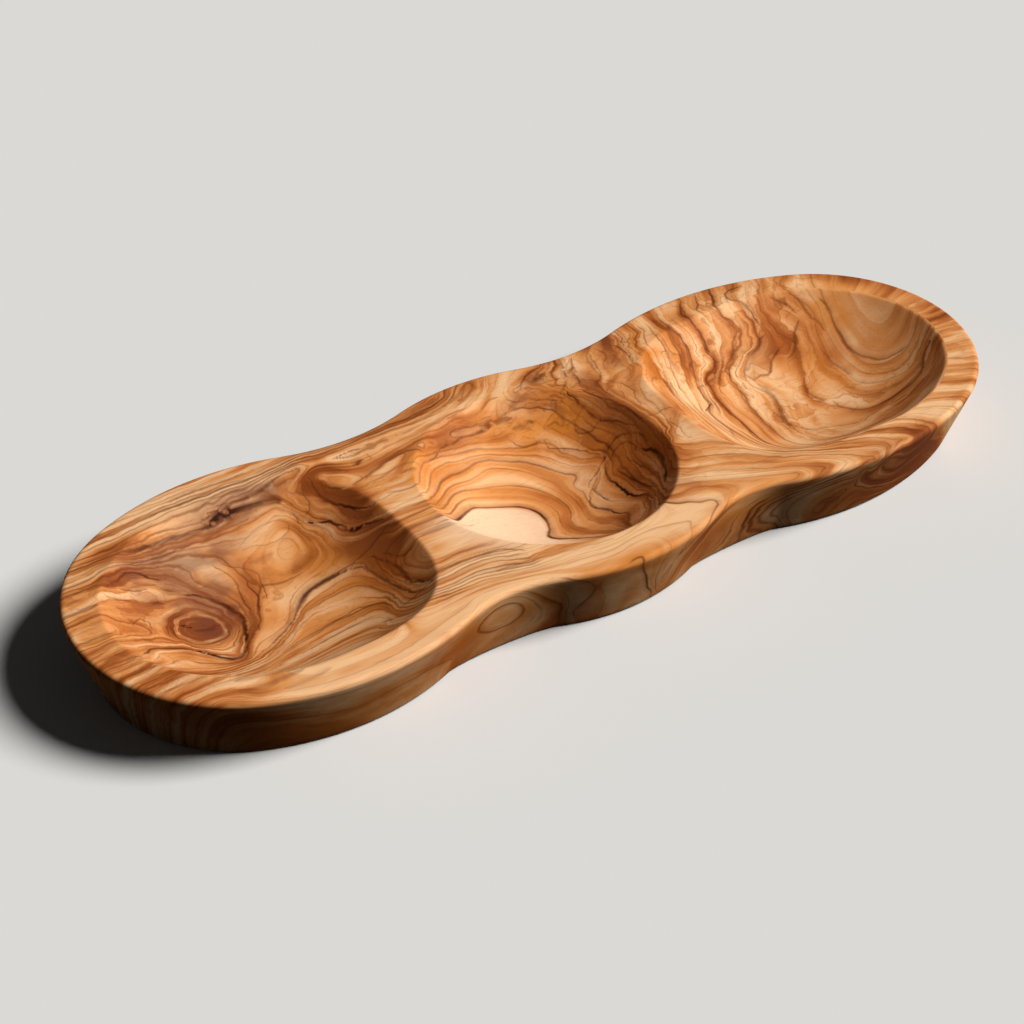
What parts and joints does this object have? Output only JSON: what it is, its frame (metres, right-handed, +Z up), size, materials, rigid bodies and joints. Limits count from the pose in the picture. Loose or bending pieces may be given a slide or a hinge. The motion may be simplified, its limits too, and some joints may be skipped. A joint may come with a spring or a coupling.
{
  "type": "olive dish",
  "caption": "Long olive-wood serving dish with a lobed outline, leaning sides and carved bowl-shaped wells in a row, for olives, nuts and dips.",
  "frame": {"origin": "centre of the dish's outline, on the table under its flat foot", "axes": "+X along the dish towards the lobe that is on the right in the picture, +Y across it and away from the picture's viewer, +Z up"},
  "size_m": [0.3, 0.1038, 0.0235],
  "materials": {
    "olive_wood": "hand-sanded and oiled, satin"
  },
  "bodies": {
    "root": {"dish": "olive_wood"}
  },
  "joints": []
}
